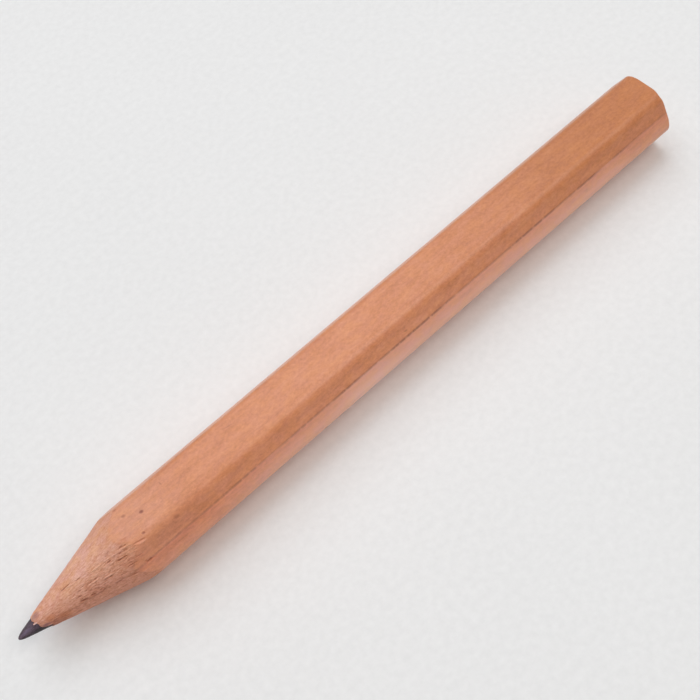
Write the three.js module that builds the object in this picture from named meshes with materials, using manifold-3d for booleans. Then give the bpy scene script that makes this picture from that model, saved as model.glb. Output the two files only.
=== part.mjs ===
// A short stub of a natural-wood pencil: six flats, sharpened in front and sawn off flat behind.
// Sizes are in millimetres. The stub lies on one flat, with its point towards -X, and the origin
// is under its middle on the surface that it lies on. The front is the -Y side.
import * as THREE from "three";
import { mergeVertices } from "three/addons/utils/BufferGeometryUtils.js";
import Module from "manifold-3d";

// Driving dimensions of the casing
const stubLength = 85; // from the blunt point to the sawn end
const acrossFlats = 7.4;
const arrisRadius = 0.9; // the six long edges are rounded this much
const sawnEdgeEase = 0.15; // small chamfer round the sawn end
const glueLine = 0.08; // width of the dark glued joint between the two halves
const jointSlope = 28; // degrees that the joint rises towards the front

// Driving dimensions of the lead and of the sharpened end
const leadDiameter = 1.85;
const leadFit = 0.04; // gap all round the lead in its grooves
const leadOffCentre = 0.12; // the lead lies this far forward of the barrel's axis
const coneHalfAngle = 15.9; // degrees
const pointRadius = 0.2; // the point is worn blunt
const leadWear = 0.06; // the lead's cone lies this far under the wood's cone

// Driving dimensions of the chip where the joint meets the sharpened cone
const chipLength = 0.9;
const chipWidth = 0.5;
const chipDepth = 0.3;
const chipBehindShoulder = 1.1;

// Fineness of the round surfaces
const coneSteps = 96;
const leadSteps = 48;
const arcSteps = 4;
const chipSteps = 12;

// Values that follow from the driving dimensions
const flatDistance = acrossFlats / 2;
const cornerDistance = (flatDistance - arrisRadius) / Math.cos(Math.PI / 6); // arris centres
const arrisDistance = cornerDistance + arrisRadius;
const coneAngle = THREE.MathUtils.degToRad(coneHalfAngle);
const jointTurn = THREE.MathUtils.degToRad(jointSlope);
const woodNoseRadius = pointRadius + leadWear;
const cutterRadius = arrisDistance * 1.5; // clears the barrel behind the cone
const overrun = acrossFlats; // how far cutting shapes pass the stub
const frontFlatTurn = Math.PI / 6; // the front flat faces this much above the level

const wasm = await Module();
wasm.setup();

// Closed geometry as a solid that can be joined and cut
function solidOf(geometry) {
  const bare = geometry.clone();
  bare.deleteAttribute("normal");
  bare.deleteAttribute("uv");
  const merged = mergeVertices(bare, 1e-5);
  const vertProperties = Float32Array.from(merged.attributes.position.array);
  const triVerts = Uint32Array.from(merged.index.array);
  return new wasm.Manifold(new wasm.Mesh({ numProp: 3, vertProperties, triVerts }));
}

// Solid back to flat-shaded geometry
function geometryOf(solid) {
  const mesh = solid.getMesh();
  const indexed = new THREE.BufferGeometry();
  indexed.setAttribute("position", new THREE.BufferAttribute(mesh.vertProperties, 3));
  indexed.setIndex(new THREE.BufferAttribute(mesh.triVerts, 1));
  const flat = indexed.toNonIndexed();
  flat.computeVertexNormals();
  return flat;
}

// Six-sided section with rounded arrises, lying on a flat
function barrelOutline() {
  const outline = new THREE.Shape();
  for (let side = 0; side < 6; side++) {
    const turn = (side * Math.PI) / 3;
    const x = cornerDistance * Math.cos(turn);
    const y = cornerDistance * Math.sin(turn);
    outline.absarc(x, y, arrisRadius, turn - Math.PI / 6, turn + Math.PI / 6, false);
  }
  outline.closePath();
  return outline;
}

// Unsharpened barrel along +X, its sawn end at stubLength
function barrel() {
  const geometry = new THREE.ExtrudeGeometry(barrelOutline(), {
    depth: stubLength + overrun - 2 * sawnEdgeEase,
    curveSegments: arcSteps,
    bevelThickness: sawnEdgeEase,
    bevelSize: sawnEdgeEase,
    bevelOffset: -sawnEdgeEase,
    bevelSegments: 1,
  });
  geometry.rotateZ(Math.PI / 2);
  geometry.rotateY(Math.PI / 2);
  geometry.translate(sawnEdgeEase - overrun, 0, 0);
  return solidOf(geometry);
}

// Distance from the point at which a cone round this nose has grown to this radius
function coneAlong(radius, noseRadius) {
  return pointRadius + (radius - noseRadius / Math.cos(coneAngle)) / Math.tan(coneAngle);
}

// Everything that the sharpener leaves: a nose, the cone that touches it, and room behind
function sharpenedSpace(noseRadius) {
  const coneEnd = coneAlong(cutterRadius, noseRadius);
  const farEnd = Math.max(stubLength, coneEnd) + overrun;
  const profile = new THREE.Path();
  profile.absarc(0, pointRadius, noseRadius, -Math.PI / 2, -coneAngle, false);
  profile.lineTo(cutterRadius, coneEnd);
  profile.lineTo(cutterRadius, farEnd);
  profile.lineTo(0, farEnd);
  const geometry = new THREE.LatheGeometry(profile.getPoints(arcSteps), coneSteps);
  geometry.rotateZ(-Math.PI / 2);
  return solidOf(geometry);
}

// Rod along the lead's own line, from overrun before the point to lengthPast behind the end
function leadLine(radius, lengthPast) {
  const rodLength = overrun + stubLength + lengthPast;
  const geometry = new THREE.CylinderGeometry(radius, radius, rodLength, leadSteps);
  geometry.rotateZ(-Math.PI / 2);
  geometry.translate(rodLength / 2 - overrun, -leadOffCentre, 0);
  return solidOf(geometry);
}

// Block that holds everything on one side of the glued joint
function sideOfJoint(side) {
  const size = 4 * arrisDistance;
  const geometry = new THREE.BoxGeometry(2 * (stubLength + overrun), size, size);
  geometry.translate(stubLength / 2, 0, (side * (size + glueLine)) / 2);
  geometry.rotateX(-jointTurn);
  return solidOf(geometry);
}

// Lens-shaped hollow where a sliver has broken out of the joint on the front flat
function chip() {
  const shoulder = coneAlong(flatDistance, woodNoseRadius);
  const reach = flatDistance / Math.cos(jointTurn - frontFlatTurn);
  const geometry = new THREE.SphereGeometry(1, chipSteps, chipSteps / 2);
  geometry.scale(chipLength / 2, chipDepth, chipWidth / 2);
  geometry.translate(shoulder + chipBehindShoulder, -reach, 0);
  geometry.rotateX(-jointTurn);
  return solidOf(geometry);
}

const casing = barrel()
  .intersect(sharpenedSpace(woodNoseRadius))
  .subtract(leadLine(leadDiameter / 2 + leadFit, overrun))
  .subtract(chip());
const lead = leadLine(leadDiameter / 2, 0).intersect(sharpenedSpace(pointRadius));

const upperWood = new THREE.MeshStandardMaterial({
  color: 0xd49474,
  roughness: 0.45,
  metalness: 0,
});
const lowerWood = new THREE.MeshStandardMaterial({
  color: 0xd9a684,
  roughness: 0.45,
  metalness: 0,
});
const graphite = new THREE.MeshStandardMaterial({
  color: 0x3a3338,
  roughness: 0.4,
  metalness: 0.2,
});

const stub = new THREE.Group();
stub.position.set(-stubLength / 2, 0, flatDistance);

function addPiece(name, solid, material) {
  const piece = new THREE.Mesh(geometryOf(solid), material);
  piece.name = name;
  stub.add(piece);
}

addPiece("upper_casing_half", casing.intersect(sideOfJoint(1)), upperWood);
addPiece("lower_casing_half", casing.intersect(sideOfJoint(-1)), lowerWood);
addPiece("graphite_lead", lead, graphite);

export default stub;
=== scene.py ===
import math

import bmesh
import bpy
from mathutils import Euler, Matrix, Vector


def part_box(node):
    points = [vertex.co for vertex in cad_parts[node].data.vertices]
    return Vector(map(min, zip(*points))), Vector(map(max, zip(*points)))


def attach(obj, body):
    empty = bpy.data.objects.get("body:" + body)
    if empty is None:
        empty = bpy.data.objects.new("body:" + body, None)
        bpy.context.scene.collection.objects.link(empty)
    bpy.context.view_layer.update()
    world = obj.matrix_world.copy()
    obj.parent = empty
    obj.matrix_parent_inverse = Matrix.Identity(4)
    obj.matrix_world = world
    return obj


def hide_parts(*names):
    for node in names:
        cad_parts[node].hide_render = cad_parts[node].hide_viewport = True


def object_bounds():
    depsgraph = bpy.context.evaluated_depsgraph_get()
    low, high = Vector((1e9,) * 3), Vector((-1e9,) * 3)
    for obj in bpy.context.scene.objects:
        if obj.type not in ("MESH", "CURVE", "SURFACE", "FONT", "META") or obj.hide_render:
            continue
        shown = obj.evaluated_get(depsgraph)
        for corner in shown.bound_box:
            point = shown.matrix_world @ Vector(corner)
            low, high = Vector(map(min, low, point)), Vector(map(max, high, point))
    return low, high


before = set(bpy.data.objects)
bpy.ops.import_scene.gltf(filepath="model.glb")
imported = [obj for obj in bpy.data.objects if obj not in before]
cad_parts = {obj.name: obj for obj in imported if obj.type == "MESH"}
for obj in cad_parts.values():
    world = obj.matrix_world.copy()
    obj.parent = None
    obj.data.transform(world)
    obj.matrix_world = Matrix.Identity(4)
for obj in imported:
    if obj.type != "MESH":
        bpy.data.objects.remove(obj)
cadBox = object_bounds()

mm = 0.001
grainLean = 2.0  # degrees round the stub that the fibres drift in each mm
fibreLean = 0.05  # mm that the same fibres sink and come forward in each mm


# Node trees

class Wire:  # a socket that Python's operators work on
    def __init__(self, graph, socket):
        self.graph = graph
        self.socket = socket

    def calc(self, operation, *others):
        return self.graph.node("ShaderNodeMath", {"operation": operation}, [self, *others])

    def __add__(self, other):
        return self.calc("ADD", other)

    def __sub__(self, other):
        return self.calc("SUBTRACT", other)

    def __mul__(self, other):
        return self.calc("MULTIPLY", other)

    def __truediv__(self, other):
        return self.calc("DIVIDE", other)

    def __pow__(self, other):
        return self.calc("POWER", other)

    def __neg__(self):
        return self.calc("MULTIPLY", -1.0)

    def __radd__(self, other):
        return self + other

    def __rmul__(self, other):
        return self * other

    def __rsub__(self, other):
        return self.graph.number(other) - self

    def __rtruediv__(self, other):
        return self.graph.number(other) / self


class Graph:  # a node tree that is filled by plain calls
    def __init__(self, tree):
        self.tree = tree

    def node(self, kind, settings=None, inputs=(), output=0):
        made = self.tree.nodes.new(kind)
        for name, value in (settings or {}).items():
            if name == "stops":
                self.setStops(made.color_ramp, value)
            elif name == "curve":
                self.setCurve(made, value)
            else:
                setattr(made, name, value)
        pairs = inputs.items() if isinstance(inputs, dict) else enumerate(inputs)
        for key, value in pairs:
            self.feed(self.pick(made.inputs, key), value)
        return Wire(self, self.pick(made.outputs, output)) if made.outputs else None

    def pick(self, sockets, key):
        if isinstance(key, int):
            return sockets[key]
        return next(s for s in sockets if s.name == key and s.enabled)

    def feed(self, socket, value):
        if isinstance(value, Wire):
            self.tree.links.new(value.socket, socket)
        else:
            socket.default_value = value

    def setStops(self, ramp, stops):
        while len(ramp.elements) < len(stops):
            ramp.elements.new(1.0)
        for element, (place, colour) in zip(ramp.elements, stops):
            element.position = place
            element.color = colour

    def setCurve(self, node, points):
        line = node.mapping.curves[0]
        line.points[0].location = points[0]
        line.points[1].location = points[-1]
        for point in points[1:-1]:
            line.points.new(*point)
        node.mapping.update()

    def number(self, value):
        return self.node("ShaderNodeMath", {"operation": "ADD"}, [value, 0.0])

    def smooth(self, value, low, high):  # 0 under low, 1 over high
        settings = {"interpolation_type": "SMOOTHSTEP"}
        inputs = {"Value": value, "From Min": low, "From Max": high}
        return self.node("ShaderNodeMapRange", settings, inputs)

    def clamp(self, value):
        return self.node("ShaderNodeClamp", None, [value, 0.0, 1.0])

    def vector(self, x, y, z):
        return self.node("ShaderNodeCombineXYZ", None, [x, y, z])

    def axes(self, vector):
        return [self.node("ShaderNodeSeparateXYZ", None, [vector], axis) for axis in "XYZ"]

    def noise(self, vector, scale, detail=2.0, roughness=0.5, distortion=0.0):
        inputs = {"Vector": vector, "Scale": scale, "Detail": detail, "Roughness": roughness}
        return self.node("ShaderNodeTexNoise", None, {**inputs, "Distortion": distortion})

    def apart(self, turn, direction):  # degrees past a direction, the shorter way round
        return (turn - direction + 180.0).calc("FLOORED_MODULO", 360.0) - 180.0

    def mark(self, along, turn, radius, spot):  # 1 in the middle of a single mark, 0 outside it
        place, direction, length, width = spot
        ahead = along - place
        beside = (self.apart(turn, direction) + ahead * grainLean) * radius * (math.pi / 180)
        inside = 1.0 - (ahead * (2 / length)) ** 2.0 - (beside * (2 / width)) ** 2.0
        return inside.calc("MAXIMUM", 0.0)

    def marks(self, along, turn, radius, listed):  # the marks with their strengths, added up
        total = self.number(0.0)
        for *spot, strength in listed:
            total = total + self.mark(along, turn, radius, spot) * strength
        return total

    def mix(self, factor, first, second, blend="MIX"):
        settings = {"data_type": "RGBA", "blend_type": blend}
        inputs = {"Factor": factor, "A": first, "B": second}
        return self.node("ShaderNodeMix", settings, inputs, "Result")


class Shape(Graph):  # a Geometry Nodes tree with named inputs
    def __init__(self, name):
        super().__init__(bpy.data.node_groups.new(name, "GeometryNodeTree"))
        self.entry = self.tree.nodes.new("NodeGroupInput")

    def given(self, name, kind="NodeSocketFloat"):
        self.tree.interface.new_socket(name, in_out="INPUT", socket_type=kind)
        return Wire(self, self.entry.outputs[name])

    def keep(self, geometry, name, value):
        inputs = {"Geometry": geometry, "Name": name, "Value": value}
        return self.node("GeometryNodeStoreNamedAttribute", {"data_type": "FLOAT"}, inputs)

    def close(self, geometry):
        plain = self.node("GeometryNodeRealizeInstances", None, [geometry])
        material = self.given("Material", "NodeSocketMaterial")
        inputs = {"Geometry": plain, "Material": material}
        dressed = self.node("GeometryNodeSetMaterial", None, inputs)
        kind = "NodeSocketGeometry"
        self.tree.interface.new_socket("Geometry", in_out="OUTPUT", socket_type=kind)
        end = self.tree.nodes.new("NodeGroupOutput")
        self.feed(end.inputs[0], dressed)


def grow(name, shape, values):  # runs a tree on an empty mesh and keeps the plain result
    holder = bpy.data.objects.new(name + "Source", bpy.data.meshes.new(name + "Source"))
    bpy.context.scene.collection.objects.link(holder)
    modifier = holder.modifiers.new("shape", "NODES")
    modifier.node_group = shape.tree
    for item in shape.tree.interface.items_tree:
        if item.in_out == "INPUT":
            modifier[item.identifier] = values[item.name]
    holder.update_tag()
    ready = holder.evaluated_get(bpy.context.evaluated_depsgraph_get())
    mesh = bpy.data.meshes.new_from_object(ready)
    holder.modifiers.clear()
    bpy.data.objects.remove(holder)
    mesh.name = name
    piece = bpy.data.objects.new(name, mesh)
    bpy.context.scene.collection.objects.link(piece)
    return piece


def soften(piece, sharpOver):  # smooth shading, with edges over this many degrees kept sharp
    piece.data.shade_smooth()
    piece.data.set_sharp_from_angle(angle=math.radians(sharpOver))


def tint(red, green, blue):  # a colour written as 0 to 255
    def linear(share):
        return share / 12.92 if share <= 0.04045 else ((share + 0.055) / 1.055) ** 2.4
    return (linear(red / 255), linear(green / 255), linear(blue / 255), 1.0)


# Sizes in millimetres, read from the frame where it gives them

leadLow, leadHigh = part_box("graphite_lead")
stub = {
    "Stub Length": (cadBox[1].x - cadBox[0].x) / mm,
    "Across Flats": (cadBox[1].z - cadBox[0].z) / mm,
    "Arris Radius": 0.9,
    "Worn Arris": 1.5,  # the arris that faces up and forward is rubbed rounder
    "Cone Half Angle": 15.4,
    "Point Radius": 0.32,
    "Lead Wear": 0.09,  # how far the lead's cone lies under the wood's
    "Lead Diameter": (leadHigh.z - leadLow.z) / mm,
    "Lead Off Centre": -(leadLow.y + leadHigh.y) / 2 / mm,
    "Point Lean": 0.03,  # the sharpened end leans this far, mostly back
}
leaning = {"back": 0.85, "up": 0.5, "full": 1.5, "gone": 8.0}  # shares, and mm behind the point


class Stub(Shape):  # what both the slats' and the lead's trees work out from the stub's sizes
    def __init__(self, name):
        super().__init__(name)
        given = {size: self.given(size) for size in stub}
        self.length, self.flats = given["Stub Length"], given["Across Flats"]
        self.arris, self.wornArris = given["Arris Radius"], given["Worn Arris"]
        self.point, self.wear = given["Point Radius"], given["Lead Wear"]
        self.off, self.lean = given["Lead Off Centre"], given["Point Lean"]
        self.flat = self.flats * 0.5
        self.leadRadius = given["Lead Diameter"] * 0.5
        self.cone = given["Cone Half Angle"].calc("RADIANS")

    def coneRadius(self, along, noseRadius):
        slope = self.cone.calc("TANGENT")
        return (along - self.point) * slope + noseRadius / self.cone.calc("COSINE")

    def barrelRadius(self, turn):  # turn in degrees: a rounded hexagon with a flat at 90
        fromFlat = (turn.calc("FLOORED_MODULO", 60.0) - 30.0).calc("ABSOLUTE").calc("RADIANS")
        fromCorner = math.pi / 6 - fromFlat
        upFront = self.apart(turn, 60.0).calc("ABSOLUTE").calc("LESS_THAN", 30.0)
        arris = self.arris + (self.wornArris - self.arris) * upFront
        corner = (self.flat - arris) / math.cos(math.pi / 6)
        flatPart = self.flat / fromFlat.calc("COSINE")
        across = corner * fromCorner.calc("SINE")
        roundPart = corner * fromCorner.calc("COSINE") + (arris ** 2.0 - across ** 2.0).calc("SQRT")
        onFlat = (self.flat * fromFlat.calc("TANGENT")).calc("LESS_THAN", corner * 0.5)
        return roundPart + (flatPart - roundPart) * onFlat

    def coreRadius(self, turn, extra=0.0):  # the round lead seen from the barrel's own axis
        toward = self.off * turn.calc("RADIANS").calc("COSINE")
        reach = (self.leadRadius + extra) ** 2.0 - self.off ** 2.0 + toward ** 2.0
        return toward + reach.calc("SQRT")

    def place(self, geometry, along, turn, radius):
        angle = turn.calc("RADIANS")
        lean = self.lean * (1.0 - self.smooth(along, leaning["full"], leaning["gone"]))
        x = (along - self.length * 0.5) * mm
        y = (lean * leaning["back"] - radius * angle.calc("COSINE")) * mm
        z = (self.flat + lean * leaning["up"] + radius * angle.calc("SINE")) * mm
        inputs = {"Geometry": geometry, "Position": self.vector(x, y, z)}
        return self.node("GeometryNodeSetPosition", None, inputs)


# Casing: each slat is a block of wood bent round the lead, then cut to the barrel and the cone

slat = {
    "coneRows": 232,
    "barrelRows": 30,
    "easeRows": 10,
    "columns": 240,
    "layers": 11,
    "grooveColumns": 12,  # the hidden groove keeps one column in this many
    "coneStretch": 18.0,  # the fine rows end here, mm behind the point
    "easeStretch": 0.5,
    "sharpOver": 55,
    "unevenness": 0.02,  # mm that the barrel's flats wander
    "chatter": 0.05,  # mm that the sharpener's cut wanders
    "ragged": 0.22,  # mm that the wood's edge round the lead wanders
    "thinEdge": 0.03,  # mm that the wood thins towards that edge
    "thinLength": 0.5,
    "shoulderBlend": 0.05,  # mm over which the cone runs into the barrel
    "grooveEase": 0.004,  # mm between the lead and its groove
    "leadCover": 0.055,  # the wood over the lead is at least this thick where it starts
    "jointEven": 0.4,  # the share of the joint's ease that doesn't wander
    "jointReach": 0.1,  # mm from the joint
    "chipReach": 1.25,  # how far the chip spreads past its length and width
    "chipRagged": 0.5,  # and how unevenly
    "chipAbove": 0.35,  # how much of the chip's depth is above the joint
    "arrisReach": 16.0,  # degrees from a corner
    "markShade": 9.0,  # how strongly the finish paints each mm of a single fibre as painted shade or highlight
    "chipShade": 0.8,
    "nearLead": 1.2,  # mm from the lead that its dust reaches
}
slatSizes = {
    "Joint Slope": 28.0,
    "Joint Gap": 0.04,  # degrees left open on each side of the joint
    "Joint Ease": 0.011,
    "Edge Ease": 0.13,
    "Arris Ease": 0.3,  # how much more the six corners of the sawn end are rounded
    "Torn Depth": 0.115,
    "Torn Turn": 50.0,  # the fibres are torn most round this direction
    "Chip Place": 13.5,
    "Chip Length": 0.85,
    "Chip Width": 0.65,
    "Chip Depth": 0.2,
    "Seed": 3.0,
}
leadBorder = [  # where the wood starts round the lead: direction in degrees, mm behind the point
    (0, 3.3), (9, 3.2), (15, 2.85), (21, 2.5), (28, 2.38), (40, 2.3), (58, 2.3), (66, 2.2),
    (71, 1.92), (76, 1.9), (82, 2.1), (90, 2.05), (100, 2.0), (120, 2.03), (150, 2.05),
    (180, 2.1), (210, 2.35), (240, 2.3), (270, 2.5), (300, 2.7), (330, 3.0), (345, 3.2),
    (360, 3.25),
]
borderScale = 4.0  # brings those places under 1 for the curve
fibres = [  # single fibres: mm behind the point, direction, length, width, lifted or torn by
    (2.3, 118.0, 0.8, 1.1, 0.05),
    (4.0, 0.0, 2.6, 1.7, -0.04),
    (6.2, 90.2, 1.9, 0.17, -0.07),
    (6.55, 84.8, 0.6, 0.22, 0.07),
    (7.55, 81.5, 0.8, 0.17, -0.06),
    (6.6, 47.5, 0.7, 0.16, -0.07),
    (6.3, 54.5, 0.8, 0.16, 0.05),
    (9.4, 72.0, 1.8, 0.16, 0.07),
    (11.3, 68.5, 2.4, 0.16, 0.06),
    (10.7, 65.6, 0.7, 0.17, -0.07),
    (11.75, 57.0, 1.3, 0.18, -0.09),
    (12.5, 69.5, 1.0, 0.17, -0.08),
    (12.6, 66.4, 1.2, 0.15, 0.08),
    (12.35, 63.6, 1.2, 0.15, -0.07),
    (12.9, 76.0, 0.9, 0.24, -0.05),
    (8.5, 55.0, 1.1, 0.15, 0.06),
    (8.4, 58.5, 2.0, 0.14, -0.05),
    (9.9, 48.0, 1.2, 0.15, 0.06),
    (9.8, 44.5, 1.6, 0.16, -0.06),
    (13.65, 61.0, 0.8, 0.18, -0.08),
    (14.15, 59.6, 0.8, 0.16, -0.07),
    (14.1, 56.5, 1.1, 0.2, 0.07),
    (13.1, 45.0, 1.1, 0.15, -0.07),
    (12.2, 40.5, 1.4, 0.15, -0.06),
    (11.0, 35.0, 1.2, 0.16, -0.06),
    (11.6, 24.0, 1.6, 0.16, -0.06),
    (12.6, 19.0, 1.2, 0.15, 0.05),
    (6.8, 33.4, 1.0, 0.26, -0.1),
    (7.75, 32.7, 0.7, 0.2, -0.09),
    (13.2, 30.4, 0.4, 0.24, -0.07),
    (13.9, 26.0, 0.7, 0.24, -0.07),
    (15.75, 91.0, 0.34, 0.26, -0.03),
    (14.7, 65.1, 0.28, 0.2, -0.03),
]


tears = {  # how the sharpener tore and lifted the cone's wood
    "long": (0.3, 4.2),  # how often the long fibres change along and across, in each mm
    "fine": (0.5, 9.0),
    "longRise": 0.9,
    "fineRise": 2.2,
    "longBite": 0.45,
    "fineBite": 0.9,
    "bite": (0.6, 0.74),  # the noise between which a tear opens
    "band": (16.0, 52.0),  # degrees from Torn Turn between which the tears fade
    "start": (4.0, 8.5),  # mm behind the point between which they begin
    "elsewhere": 0.35,  # how strong they are outside the band
}


def tornRelief(shape, along, turn, radius, given):  # below 0 in tears, above 0 on lifted fibres
    angle, lean, seed = turn.calc("RADIANS"), along * fibreLean, given["Seed"]
    front = radius * angle.calc("COSINE") - lean
    up = radius * angle.calc("SINE") + lean
    often, across = tears["long"]
    spot = shape.vector(along * often + seed, front * across, up * across)
    long = shape.noise(spot, 1.0, 2.0, 0.6)
    often, across = tears["fine"]
    spot = shape.vector(along * often - seed, front * across, up * across)
    fine = shape.noise(spot, 1.0, 2.0, 0.6)
    away = shape.apart(turn, given["Torn Turn"]).calc("ABSOLUTE")
    band = (1.0 - shape.smooth(away, *tears["band"])) * shape.smooth(along, *tears["start"])
    lines = (long - 0.5) * tears["longRise"] + (fine - 0.5) * tears["fineRise"]
    longTears = shape.smooth(long, *tears["bite"])
    fineTears = shape.smooth(fine, *tears["bite"])
    relief = lines - longTears * tears["longBite"] - fineTears * tears["fineBite"]
    return relief * (tears["elsewhere"] + (1 - tears["elsewhere"]) * band)


def slatTree():
    shape = Stub("slat")
    side = shape.given("Side")
    given = {name: shape.given(name) for name in slatSizes}
    rows = slat["coneRows"] + slat["barrelRows"] + slat["easeRows"]
    block = shape.node("GeometryNodeMeshCube", None, {
        "Size": (1, 1, 1),
        "Vertices X": rows + 1,
        "Vertices Y": slat["columns"] + 1,
        "Vertices Z": slat["layers"] + 1,
    })
    u, v, depth = [axis + 0.5 for axis in shape.axes(shape.node("GeometryNodeInputPosition"))]

    span = 180.0 - 2.0 * given["Joint Gap"]
    turn = given["Joint Slope"] + side * 180.0 + given["Joint Gap"] + v * span
    curve = [(turnAt / 360, place / borderScale) for turnAt, place in leadBorder]
    share = turn.calc("FLOORED_MODULO", 360.0) / 360.0
    border = shape.node("ShaderNodeFloatCurve", {"curve": curve}, {"Value": share}) * borderScale
    ragged = shape.noise(shape.vector(turn * 0.16, given["Seed"], 0.0), 1.0, 3.0, 0.7)
    border = border + (ragged - 0.5) * slat["ragged"]

    coneEnd = slat["coneRows"] / rows
    barrelEnd = (slat["coneRows"] + slat["barrelRows"]) / rows
    first = shape.clamp(u / coneEnd)
    second = shape.clamp((u - coneEnd) / (barrelEnd - coneEnd))
    third = shape.clamp((u - barrelEnd) / (1 - barrelEnd))
    toCone = slat["coneStretch"] - border
    stretch = shape.length - slat["easeStretch"] - slat["coneStretch"]
    along = border + toCone * first + stretch * second + slat["easeStretch"] * third

    barrel = shape.barrelRadius(turn)
    hand = shape.noise(shape.vector(along * 0.12, turn * 0.02, given["Seed"]), 1.0, 1.0)
    barrel = barrel + (0.5 - hand) * slat["unevenness"]
    cone = shape.coneRadius(along, shape.point + shape.wear)
    relief = tornRelief(shape, along, turn, cone, given)
    single = shape.marks(along, turn, barrel.calc("MINIMUM", cone), fibres)
    chatter = shape.noise(shape.vector(along * 0.5, turn * 0.03, given["Seed"] + 9.0), 1.0, 1.0)
    rough = cone + relief * given["Torn Depth"] + (chatter - 0.5) * slat["chatter"]
    cut = shape.smooth(barrel - rough, -0.03, 0.08)
    thin = slat["thinEdge"]
    feather = shape.smooth(along - border, -0.05, slat["thinLength"])
    shaved = cone - thin + (rough - cone + thin) * feather
    outer = shaved.calc("SMOOTH_MIN", barrel, slat["shoulderBlend"]) + single * feather

    fromJoint = (turn - given["Joint Slope"]).calc("RADIANS")
    jointAway = outer * fromJoint.calc("SINE").calc("ABSOLUTE")
    wander = shape.noise(shape.vector(along * 0.35, side, given["Seed"]), 1.0, 3.0, 0.6)
    atJoint = 1.0 - shape.smooth(jointAway, 0.0, slat["jointReach"])
    outer = outer - given["Joint Ease"] * (slat["jointEven"] + wander) * atJoint
    chipNoise = shape.noise(shape.vector(along * 3.0, turn * 0.3, given["Seed"] + 2.0), 1.0, 2.0)
    chipAlong = (along - given["Chip Place"]) / given["Chip Length"] * 2.0
    chipAcross = jointAway / given["Chip Width"] * 2.0
    onFront = fromJoint.calc("COSINE").calc("GREATER_THAN", 0.0)
    chipInside = slat["chipReach"] - chipAlong ** 2.0 - chipAcross ** 2.0
    hollow = shape.smooth(chipInside - chipNoise * slat["chipRagged"], 0.0, 1.0) * onFront
    hollow = hollow * (slat["chipAbove"] + side * (1 - slat["chipAbove"]))
    outer = outer - hollow * given["Chip Depth"]
    fromArris = 30.0 - (turn.calc("FLOORED_MODULO", 60.0) - 30.0).calc("ABSOLUTE")
    atArris = 1.0 - shape.smooth(fromArris, 0.0, slat["arrisReach"])
    ease = given["Edge Ease"] + given["Arris Ease"] * atArris
    past = (along - shape.length + ease).calc("MAXIMUM", 0.0)
    outer = outer - ease + (ease ** 2.0 - past ** 2.0).calc("SQRT")

    inner = shape.coreRadius(turn, slat["grooveEase"]).calc("MINIMUM", cone - slat["leadCover"])
    sawn = u.calc("GREATER_THAN", 0.9995)
    for name, value in {
        "cut": cut.calc("MAXIMUM", sawn).calc("MAXIMUM", hollow),
        "sawn": sawn,
        # painted shade and highlight: the tear relief, single fibres and the chip darken or lighten
        # the finish
        "torn": relief * cut + single * slat["markShade"] - hollow * slat["chipShade"],
        "near": 1.0 - shape.smooth(along - border, 0.0, slat["nearLead"]),
        "depth": depth,
        "column": v * slat["columns"],
    }.items():
        block = shape.keep(block, name, value)
    shape.close(shape.place(block, along, turn, inner + (outer - inner) * depth))
    return shape


def thinGroove(piece):  # the lead hides the groove, so most of its columns go
    bm = bmesh.new()
    bm.from_mesh(piece.data)
    depth = bm.verts.layers.float["depth"]
    column = bm.verts.layers.float["column"]
    spare = []
    for edge in bm.edges:
        one, two = edge.verts
        inside = one[depth] < 0.001 and two[depth] < 0.001
        place = round(one[column])
        if inside and place == round(two[column]) and place % slat["grooveColumns"]:
            spare.append(edge)
    bmesh.ops.dissolve_edges(bm, edges=spare, use_verts=True)
    bm.to_mesh(piece.data)
    bm.free()
    for name in ("depth", "column"):
        piece.data.attributes.remove(piece.data.attributes[name])


# Lead: a rod whose rows gather at the sharpened point

lead = {
    "sides": 120,
    "tipRows": 230,
    "hiddenRows": 14,
    "tipStart": 0.002,
    "tipStretch": 4.2,  # the fine rows end here, mm behind the point
    "sharpOver": 50,
    "noseBend": 0.53,  # 0.5 is a parabola
    "facets": 1.7,  # how often the sharpened facets change round the lead
    "scratches": (0.9, 9.0),  # how often the scratches change along and round it
    "bite": 0.6,  # both start within this many mm of the point
}
leadSizes = {"Nose Length": 1.0, "Scratch Depth": 0.012, "Facet Depth": 0.03, "Seed": 8.0}


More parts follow.
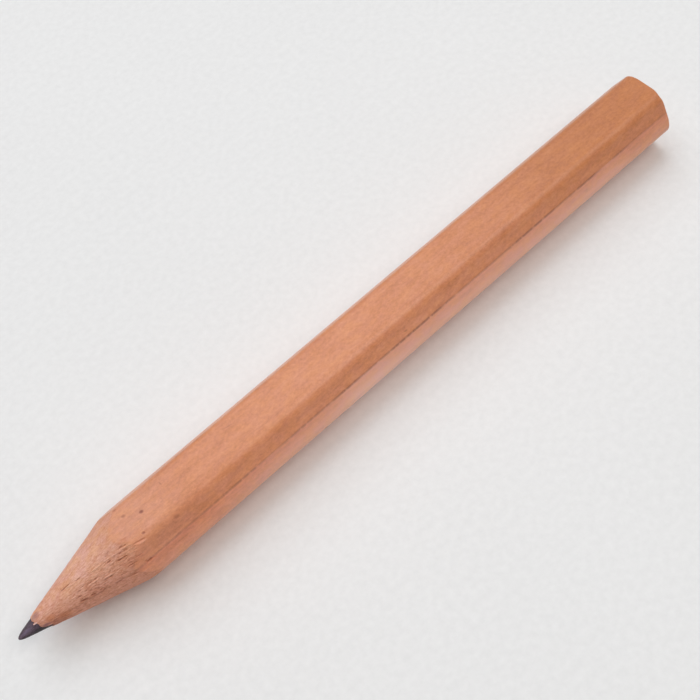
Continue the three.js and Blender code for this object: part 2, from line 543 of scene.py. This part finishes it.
def leadTree():
    shape = Stub("lead")
    given = {name: shape.given(name) for name in leadSizes}
    rows = lead["tipRows"] + lead["hiddenRows"]
    counts = {"Vertices": lead["sides"], "Side Segments": rows, "Radius": 1.0, "Depth": 1.0}
    rod = shape.node("GeometryNodeMeshCylinder", {"fill_type": "TRIANGLE_FAN"}, counts)
    across, up, length = shape.axes(shape.node("GeometryNodeInputPosition"))
    u = length + 0.5
    rim = (across ** 2.0 + up.calc("ABSOLUTE") ** 2.0).calc("GREATER_THAN", 0.25)
    turn = -up.calc("ARCTAN2", across).calc("DEGREES")

    tipEnd = lead["tipRows"] / rows
    first = shape.clamp(u / tipEnd)
    second = shape.clamp((u - tipEnd) / (1 - tipEnd))
    tipLength = lead["tipStretch"] - lead["tipStart"]
    along = lead["tipStart"] + tipLength * first + (shape.length - lead["tipStretch"]) * second

    taper = shape.coneRadius(along, shape.point)
    behindNose = shape.coneRadius(given["Nose Length"], shape.point)
    nose = behindNose * (along / given["Nose Length"]) ** lead["noseBend"]
    sharpened = taper + (nose - taper) * along.calc("LESS_THAN", given["Nose Length"])
    angle = turn.calc("RADIANS")
    ringX, ringY = angle.calc("COSINE"), angle.calc("SINE")
    facets = shape.noise(shape.vector(ringX, ringY, given["Seed"]), lead["facets"], 1.0, 0.4) - 0.5
    often, around = lead["scratches"]
    lines = shape.noise(shape.vector(ringX * around, ringY * around, along * often), 1.0, 3.0)
    bite = shape.smooth(along, 0.0, lead["bite"])
    sharpened = sharpened + facets * given["Facet Depth"] * bite
    sharpened = sharpened - lines * given["Scratch Depth"] * bite
    radius = sharpened.calc("MINIMUM", shape.coreRadius(turn)) * rim
    shape.close(shape.place(rod, along, turn, radius))
    return shape


# Finishes

class Finish(Graph):  # a material on a Principled shader, with coordinates in mm
    def __init__(self, name):
        self.material = bpy.data.materials.new(name)
        self.material.use_nodes = True
        self.material.node_tree.nodes.clear()
        super().__init__(self.material.node_tree)
        place = self.node("ShaderNodeTexCoord", None, (), "Object")
        inputs = {"Vector": place, "Scale": 1 / mm}
        self.spot = self.node("ShaderNodeVectorMath", {"operation": "SCALE"}, inputs)
        self.x, self.y, self.z = self.axes(self.spot)
        self.along = self.x + stub["Stub Length"] / 2

    def read(self, name):
        return self.node("ShaderNodeAttribute", {"attribute_name": name}, (), "Fac")

    def ramp(self, value, stops):
        return self.node("ShaderNodeValToRGB", {"stops": stops}, [value])

    def lengthwise(self, listed):  # a value given at places along the stub, in mm behind the point
        curve = [(place / stub["Stub Length"], value) for place, value in listed]
        share = self.along / stub["Stub Length"]
        return self.node("ShaderNodeFloatCurve", {"curve": curve}, {"Value": share})

    def around(self):  # mm above the axis, degrees up from the front, and mm from the axis
        height = self.z - stub["Across Flats"] / 2
        turn = height.calc("ARCTAN2", -self.y).calc("DEGREES")
        return height, turn, (self.y ** 2.0 + height ** 2.0).calc("SQRT")

    def grain(self, name, seedY=0.0, seedZ=0.0, lean=None):  # noise drawn out along the stub
        often, across, detail, roughness = patterns[name]
        y, z = [side if lean is None else side + lean for side in (self.y, self.z)]
        y = y * across + seedY if seedY else y * across
        z = z * across + seedZ if seedZ else z * across
        return self.noise(self.vector(self.along * often, y, z), 1.0, detail, roughness)

    def bump(self, height, strength, distance):
        inputs = {"Height": height, "Strength": strength, "Distance": distance * mm}
        return self.node("ShaderNodeBump", None, inputs)

    def close(self, sockets):
        shader = self.node("ShaderNodeBsdfPrincipled", None, sockets)
        self.node("ShaderNodeOutputMaterial", None, {"Surface": shader})
        return self.material


patterns = {  # how often each changes along and across in each mm, its detail and roughness
    "wobble": (0.05, 0.3, 2.0, 0.5),
    "streaks": (0.5, 4.5, 3.0, 0.6),
    "flecks": (2.2, 3.4, 2.0, 0.6),
    "mottle": (6.0, 7.0, 2.0, 0.5),
    "cloud": (0.3, 0.9, 2.0, 0.5),
    "hue": (0.7, 1.2, 2.0, 0.5),
    "rawLines": (0.45, 8.0, 3.0, 0.65),
    "rawFuzz": (4.0, 22.0, 2.0, 0.5),
    "endPores": (0.5, 14.0, 2.0, 0.5),
    "leadDust": (1.4, 3.0, 3.0, 0.6),
    "leadLines": (1.3, 10.0, 3.0, 0.6),
    "leadSpecks": (9.0, 9.0, 2.0, 0.6),
}
fades = {  # where a look starts and where it is full
    "lateWood": (0.55, 0.95),  # share of a growth ring
    "nextRing": (0.95, 1.0),
    "upward": (35.0, 78.0),  # degrees up from the front
    "top": (22.0, 95.0),
    "patchyTop": (55.0, 95.0),
    "tip": (3.0, 8.0),  # mm behind the point
    "shoulder": (9.0, 14.5),
    "rubbedAndHighlight": (14.0, 22.0),
    "barrel": (17.0, 28.0),
    "pale": (0.2, 1.8),  # mm from the joint
    "glue": (0.02, 0.22),
    "gluePieces": (0.3, 0.55),  # value of a pattern
    "hue": (0.3, 0.7),
    "leadDust": (0.45, 0.75),
    "torn": (0.05, 0.75),
    "liftedHighlight": (0.08, 0.5),
}
woodFinish = {
    "varnished": [(0.0, tint(172, 100, 58)), (0.5, tint(209, 135, 93)), (1.0, tint(231, 162, 120))],
    "cut": [(0.0, tint(150, 86, 62)), (0.45, tint(212, 148, 121)), (1.0, tint(242, 192, 168))],
    "back": (0.78, 0.71, 0.49, 1.0),  # the varnish deepens towards the sawn end, partly real colour and partly painted shade where the top flat's sheen fades
    "backBelow": 0.62,  # and this much of it is left below the top flat
    "front": (1.19, 1.2, 1.3, 1.0),  # painted light: the flats below the top flat are painted paler
    "paintedFrontLightOnRaw": 0.6,  # less so where it is raw
    "warm": (1.03, 1.0, 0.87, 1.0),
    "cool": (1.0, 0.98, 1.09, 1.0),
    # painted shade in the tears, and painted highlight on lifted fibres
    "torn": tint(132, 72, 50),
    "liftedHighlight": tint(238, 188, 164),
    "glue": tint(118, 56, 34),
    "smudge": tint(136, 98, 108),
    "splinter": tint(236, 202, 198),
    "speck": tint(122, 50, 24),
    "stain": tint(240, 215, 185),
    "endGrain": [(0.0, tint(148, 92, 62)), (0.5, tint(192, 132, 96)), (1.0, tint(218, 166, 130))],
    "streaks": 0.25,  # how strongly each pattern shows under the varnish
    "flecks": 0.62,
    "mottle": 0.3,
    "cloud": 0.5,
    "lateWood": 0.05,
    "behindCone": 0.11,  # the varnished wood is darker towards the cone
    "rawTone": 0.505,
    "rawLines": 1.3,
    "rawCloud": 0.35,
    "rawMottle": 0.4,
    "rawLateWood": 0.08,
    "rawPaintedTopLight": 0.27,  # painted light: the cone is painted paler on top
    "rawTip": 0.12,  # and darker near the lead
    "tornShade": 0.75,
    "liftedHighlightShare": 0.7,
    "coneVarnish": 0.45,  # how much of the varnished colour the cone keeps at its shoulder
    "rubbedOff": 0.2,  # how much of it the barrel has lost there
    "patchy": 0.75,
    "patchyTop": 0.65,
    "patchyRaw": 0.45,
    "ringWobble": 0.8,
    "ringDrift": 0.012,  # rings that pass in each mm along the stub
    "endTone": 0.55,
    "endLateWood": 0.35,
    "endPores": 0.7,
    "leadDust": 0.3,
    "smudges": 0.7,
    "varnishRise": {"all": 0.12, "streaks": 0.4, "flecks": 0.5},
    "rawRise": 0.8,
    "sawRise": 2.0,
    "bump": (0.6, 0.06),  # strength, and height in mm
    "roughness": 0.6,
    "rawRoughness": 0.2,  # added where the wood is raw
    "coat": 0.6,
    "coatRoughness": 0.34,
    "gloss": 0.25,
}
lowerLook = {
    **woodFinish,
    "pale": tint(228, 178, 154),
    "blush": tint(255, 236, 228),  # the wood is redder next to the joint
    "blushShare": 0.8,
    "streaks": 0.6,
    "palenessAndSheen": [  # mm behind the point, how pale the wood is: paler wood with a painted sheen
        (0, 0.2), (17, 0.18), (23, 0.38), (28, 0.55), (34, 0.66), (37, 0.8), (41, 1.0),
        (46, 0.8), (58, 0.7), (75, 0.65), (79, 0.45), (85, 0.35),
    ],
    "paleAtJoint": 0.56,
    "paleBelow": 0.38,  # painted reflection of the table, added away from the joint
}
varnishDepthAndShade = [  # mm behind the point, how deep the varnish's colour is, partly painted shade
    (0, 0.0), (40, 0.0), (52, 0.2), (62, 0.45), (73, 0.95), (80, 1.0), (85, 1.0),
]
pores = [  # dark pores and specks: mm behind the point, direction, length, width, strength
    (15.75, 91.0, 0.55, 0.42, 0.95),
    (14.26, 103.7, 0.55, 0.4, 0.5),
    (14.7, 65.1, 0.45, 0.34, 0.75),
    (13.96, 119.0, 0.45, 0.25, 0.55),
    (17.9, 53.0, 0.8, 0.5, 0.45),
    (27.0, 105.0, 1.0, 0.14, 0.35),
    (18.7, 106.0, 0.2, 0.5, 0.35),
    (46.4, 38.0, 0.5, 0.22, 0.4),
]
stains = [
    (3.48, 48.0, 1.2, 0.8, 0.8),
    (4.6, 24.0, 1.9, 0.9, 0.7),
    (14.4, 72.0, 1.1, 0.7, 0.35),
]
smudges = [(2.5, 104.0, 1.2, 0.8, 0.75), (2.7, 30.0, 1.3, 0.5, 0.8)]
splinter = (2.05, 73.0, 0.6, 0.2)
glueDarkness = [  # along the joint: mm behind the point, how dark the glue shows
    (0, 0.1), (6.2, 0.12), (6.8, 0.35), (8.2, 0.3), (10, 0.3), (14, 0.3), (20, 0.34),
    (26, 0.42), (28.6, 0.15), (31, 0.38), (36, 0.36), (37.4, 0.62), (40.3, 0.4), (43, 0.38),
    (44.5, 0.6), (47.6, 0.64), (51.7, 0.45), (53.5, 0.32), (60, 0.32), (62.7, 0.62),
    (67, 0.52), (70, 0.4), (72.5, 0.6), (75.2, 0.05), (77.6, 0.5), (79, 0.2), (85, 0.22),
]


def woodFinishOn(name, look, seed, ringCentre):
    finish = Finish(name)

    def fade(value, zone):
        return finish.smooth(value, *fades[zone])

    noise, mix, vector = finish.noise, finish.mix, finish.vector
    along, y, z = finish.along, finish.y, finish.z
    cut, torn, sawn, near = [finish.read(part) for part in ("cut", "torn", "sawn", "near")]
    height, turn, radius = finish.around()
    slope = math.radians(slatSizes["Joint Slope"])
    fromJoint = (y * math.sin(slope) + height * math.cos(slope)).calc("ABSOLUTE")

    ringY, ringZ = ringCentre
    wobble = finish.grain("wobble", 0.0, seed) - 0.5
    fromCentre = ((y - ringY) ** 2.0 + (z - ringZ) ** 2.0).calc("SQRT")
    ring = fromCentre + wobble * look["ringWobble"] + along * look["ringDrift"]
    ring = ring.calc("FRACT")
    lateWood = fade(ring, "lateWood") * (1.0 - fade(ring, "nextRing"))

    streaks = finish.grain("streaks", seed)
    flecks = finish.grain("flecks", 0.0, seed)
    mottle = finish.grain("mottle")
    cloud = finish.grain("cloud", 0.0, seed)
    tone = 0.5 + (streaks - 0.5) * look["streaks"] + (flecks - 0.5) * look["flecks"]
    tone = tone + (mottle - 0.5) * look["mottle"] + (cloud - 0.5) * look["cloud"]
    tone = tone - lateWood * look["lateWood"] - (1.0 - fade(along, "barrel")) * look["behindCone"]
    varnished = finish.ramp(tone, look["varnished"])
    # darker towards the sawn end, more on the top flat: deeper varnish and painted shade
    upward = fade(turn, "upward")
    deepeningAndShade = look["backBelow"] + upward * (1 - look["backBelow"])
    deepeningAndShade = finish.lengthwise(varnishDepthAndShade) * deepeningAndShade
    varnished = mix(deepeningAndShade, varnished, look["back"], "MULTIPLY")
    # the lower slat is paler wood, with a painted sheen along the stub and a painted reflection of
    # the table away from the joint
    if "pale" in look:
        below = fade(fromJoint, "pale")
        varnished = mix((1.0 - below) * look["blushShare"], varnished, look["blush"], "MULTIPLY")
        palenessAndSheen = look["paleAtJoint"] + below * look["paleBelow"]
        varnished = mix(finish.lengthwise(look["palenessAndSheen"]) * palenessAndSheen, varnished, look["pale"])

    rawLines = finish.grain("rawLines", lean=along * fibreLean)
    rawTone = look["rawTone"] + (rawLines - 0.5) * look["rawLines"]
    rawTone = rawTone + (cloud - 0.5) * look["rawCloud"] + (mottle - 0.5) * look["rawMottle"]
    # painted light: the cone is painted paler on top
    rawTone = rawTone - lateWood * look["rawLateWood"] + fade(turn, "top") * look["rawPaintedTopLight"]
    rawTone = rawTone - (1.0 - fade(along, "tip")) * look["rawTip"]
    raw = finish.ramp(rawTone, look["cut"])
    # painted shade in the tears, and painted highlight on lifted fibres
    raw = mix(fade(-torn, "torn") * look["tornShade"], raw, look["torn"])
    raw = mix(fade(torn, "liftedHighlight") * look["liftedHighlightShare"], raw, look["liftedHighlight"])
    raw = mix(finish.marks(along, turn, radius, stains), raw, look["stain"], "MULTIPLY")

    bareCone = cut * (1.0 - fade(along, "shoulder") * look["coneVarnish"])
    bareBarrel = (1.0 - cut) * (1.0 - fade(along, "rubbedAndHighlight")) * look["rubbedOff"]
    bare = bareCone + bareBarrel
    colour = mix(bare, varnished, raw)
    # painted light: the flats below the top flat are painted paler, less so where the wood is raw
    paintedFrontLight = (1.0 - upward) * (1.0 - bare * look["paintedFrontLightOnRaw"])
    colour = mix(paintedFrontLight, colour, look["front"], "MULTIPLY")
    hue = fade(finish.grain("hue", 0.0, seed), "hue")
    patchy = fade(turn, "patchyTop") * look["patchyTop"] - look["patchyRaw"]
    patchy = look["patchy"] + bare * patchy
    colour = mix(patchy, colour, mix(hue, look["warm"], look["cool"]), "MULTIPLY")
    colour = mix(finish.marks(along, turn, radius, pores), colour, look["speck"])
    endTone = look["endTone"] - lateWood * look["endLateWood"]
    endTone = endTone + (finish.grain("endPores") - 0.5) * look["endPores"]
    colour = mix(sawn, colour, finish.ramp(endTone, look["endGrain"]))

    broken = fade(noise(vector(along * 1.1, 0.0, 0.0), 1.0, 3.0, 0.7), "gluePieces")
    glue = (1.0 - fade(fromJoint, "glue")) * broken * finish.lengthwise(glueDarkness)
    colour = mix(glue, colour, look["glue"])
    dust = near * fade(finish.grain("leadDust"), "leadDust") * cut * look["leadDust"]
    grey = dust + finish.marks(along, turn, radius, smudges) * look["smudges"]
    colour = mix(grey, colour, look["smudge"])
    colour = mix(finish.mark(along, turn, radius, splinter), colour, look["splinter"])

    rise = look["varnishRise"]
    bumps = streaks * rise["streaks"] + flecks * rise["flecks"]
    rawBumps = rawLines + finish.grain("rawFuzz") * look["rawRise"]
    sawMarks = noise(vector(seed, y * 1.2 + z * 5.0, 0.0), 1.0, 2.0)
    relief = bumps * rise["all"] * (1.0 - cut) + rawBumps * cut * (1.0 - sawn)
    relief = relief + sawMarks * sawn * look["sawRise"]
    return finish.close({
        "Base Color": colour,
        "Roughness": look["roughness"] + cut * look["rawRoughness"],
        "Coat Weight": (1.0 - cut) * look["coat"],
        "Coat Roughness": look["coatRoughness"],
        "Specular IOR Level": look["gloss"],
        "Normal": finish.bump(relief, *look["bump"]),
    })


graphiteFinish = {
    "body": [(0.0, tint(30, 20, 26)), (0.5, tint(80, 64, 76)), (1.0, tint(128, 112, 128))],
    # painted highlight colour for the paler stroke on the lead
    "rubbedAndHighlight": tint(112, 98, 122),
    "highlightShare": 0.6,
    "tone": 0.04,
    "up": 0.58,  # painted light: the lead is painted paler where it faces up and darker facing down
    "over": 0.5,  # and less so past the top
    "behind": 0.18,  # it is darker behind the point
    "lines": 0.9,
    "specks": 0.4,
    "metallic": 0.15,
    "gloss": 0.35,
    "roughness": 0.42,
    "roughnessSpread": 0.2,
    "speckRise": 0.5,
    "bump": (0.5, 0.03),  # strength, and height in mm
}
rubbedAndHighlight = (1.0, 74.0, 1.4, 0.36)  # a painted highlight: a paler stroke beside the point


def graphiteOn(name, look):
    finish = Finish(name)
    along, smooth = finish.along, finish.smooth
    turn, radius = finish.around()[1:]
    lines = finish.grain("leadLines")
    specks = finish.grain("leadSpecks")
    # painted light and shade: the lead is painted paler facing up and darker facing down
    upward = smooth(turn, 0.0, 62.0) * (1.0 - smooth(turn, 84.0, 125.0) * look["over"])
    tone = look["tone"] + upward * look["up"] - smooth(along, 1.3, 2.2) * look["behind"]
    tone = tone + (lines - 0.5) * look["lines"] + (specks - 0.5) * look["specks"]
    # painted highlight: a paler stroke where light falls on the lead
    paintedHighlight = finish.mark(along, turn, radius, rubbedAndHighlight) * look["highlightShare"]
    return finish.close({
        "Base Color": finish.mix(paintedHighlight, finish.ramp(tone, look["body"]), look["rubbedAndHighlight"]),
        "Metallic": look["metallic"],
        "Specular IOR Level": look["gloss"],
        "Roughness": look["roughness"] + (specks - 0.5) * look["roughnessSpread"],
        "Normal": finish.bump(lines + specks * look["speckRise"], *look["bump"]),
    })


# Making the pieces

print("wood and lead")
upperWood = woodFinishOn("upperWood", woodFinish, 1.0, (-9.0, 16.0))
lowerWood = woodFinishOn("lowerWood", lowerLook, 7.0, (-7.0, -9.0))
graphite = graphiteOn("graphite", graphiteFinish)

slatShape = slatTree()
for side, (name, node, slot, material) in enumerate([
    ("upper_slat", "upper_casing_half", "upper_wood", upperWood),
    ("lower_slat", "lower_casing_half", "lower_wood", lowerWood),
]):
    own = {"Side": float(side), "Seed": slatSizes["Seed"] + side, "Material": material}
    piece = grow(name, slatShape, {**stub, **slatSizes, **own})
    thinGroove(piece)
    soften(piece, slat["sharpOver"])
    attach(piece, "root")
    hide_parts(node)

core = grow("sharpened_lead", leadTree(), {**stub, **leadSizes, "Material": graphite})
soften(core, lead["sharpOver"])
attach(core, "root")
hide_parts("graphite_lead")


# Table, light and camera

print("table, light and camera")
table = {
    "width": 1.6,
    "colours": [(0.0, tint(230, 231, 232)), (1.0, tint(243, 244, 245))],
    "grain": 1.3,  # in each mm
    "grainShare": 1.1,
    "mottle": 0.03,
    "mottleShare": 0.3,
    "roughness": 0.6,
    "gloss": 0.3,
}
lamps = {
    "softKey": {
        "turn": 84.0, "rise": 62.0, "size": 1.35, "power": 9.8, "colour": (0.98, 1.0, 1.03),
    },
    "warmFill": {
        "turn": 312.0, "rise": 63.0, "size": 0.75, "power": 5.6, "colour": (1.0, 0.955, 0.9),
    },
}
lampDistance = 1.2
sky = {"colour": (1.0, 0.97, 0.93), "strength": 0.15}
lens = {
    "place": (-0.025184, -0.042962, 0.095426),
    "turn": (27.7575, 6.7831, -41.8797),
    "length": 52.846,
    "sensor": 36.0,
}


def tableFinish():
    finish = Finish("table")
    grain = finish.noise(finish.spot, table["grain"], 3.0, 0.6)
    mottle = finish.noise(finish.spot, table["mottle"], 2.0)
    tone = 0.5 + (grain - 0.5) * table["grainShare"] + (mottle - 0.5) * table["mottleShare"]
    return finish.close({
        "Base Color": finish.ramp(tone, table["colours"]),
        "Roughness": table["roughness"],
        "Specular IOR Level": table["gloss"],
    })


def layTable():
    half = table["width"] / 2
    corners = [(-half, -half, 0.0), (half, -half, 0.0), (half, half, 0.0), (-half, half, 0.0)]
    mesh = bpy.data.meshes.new("table")
    mesh.from_pydata(corners, [], [(0, 1, 2, 3)])
    mesh.materials.append(tableFinish())
    top = bpy.data.objects.new("table", mesh)
    bpy.context.scene.collection.objects.link(top)


def hangLamp(name, lamp):
    light = bpy.data.lights.new(name, "AREA")
    light.shape = "DISK"
    light.size = lamp["size"]
    light.energy = lamp["power"]
    light.color = lamp["colour"]
    holder = bpy.data.objects.new(name, light)
    rise, turn = math.radians(lamp["rise"]), math.radians(lamp["turn"])
    level = math.cos(rise)
    toward = Vector((level * math.cos(turn), level * math.sin(turn), math.sin(rise)))
    holder.location = toward * lampDistance
    holder.rotation_euler = toward.to_track_quat("Z", "Y").to_euler()
    bpy.context.scene.collection.objects.link(holder)


def paintSky():
    world = bpy.data.worlds.new("studio")
    world.use_nodes = True
    world.node_tree.nodes.clear()
    graph = Graph(world.node_tree)
    kinds = ("Is Camera Ray", "Is Glossy Ray", "Is Transmission Ray")
    camera, glossy, through = [graph.node("ShaderNodeLightPath", None, (), kind) for kind in kinds]
    seen = camera.calc("MAXIMUM", glossy).calc("MAXIMUM", through)
    inputs = {"Color": (*sky["colour"], 1.0), "Strength": sky["strength"]}
    soft = graph.node("ShaderNodeBackground", None, inputs)
    inputs = {"Color": (1.0, 1.0, 1.0, 1.0), "Strength": 1.0}
    white = graph.node("ShaderNodeBackground", None, inputs)
    mixed = graph.node("ShaderNodeMixShader", None, [seen, soft, white])
    graph.node("ShaderNodeOutputWorld", None, {"Surface": mixed})
    bpy.context.scene.world = world


def setCamera():
    camera = bpy.data.cameras.new("camera")
    camera.lens = lens["length"]
    camera.sensor_width = lens["sensor"]
    camera.clip_start = 0.001
    camera.dof.use_dof = False
    holder = bpy.data.objects.new("camera", camera)
    holder.location = lens["place"]
    holder.rotation_euler = Euler([math.radians(turn) for turn in lens["turn"]])
    bpy.context.scene.collection.objects.link(holder)
    bpy.context.scene.camera = holder


layTable()
for name, lamp in lamps.items():
    hangLamp(name, lamp)
paintSky()
setCamera()
bpy.context.scene.view_settings.view_transform = "Standard"

print("sizes")
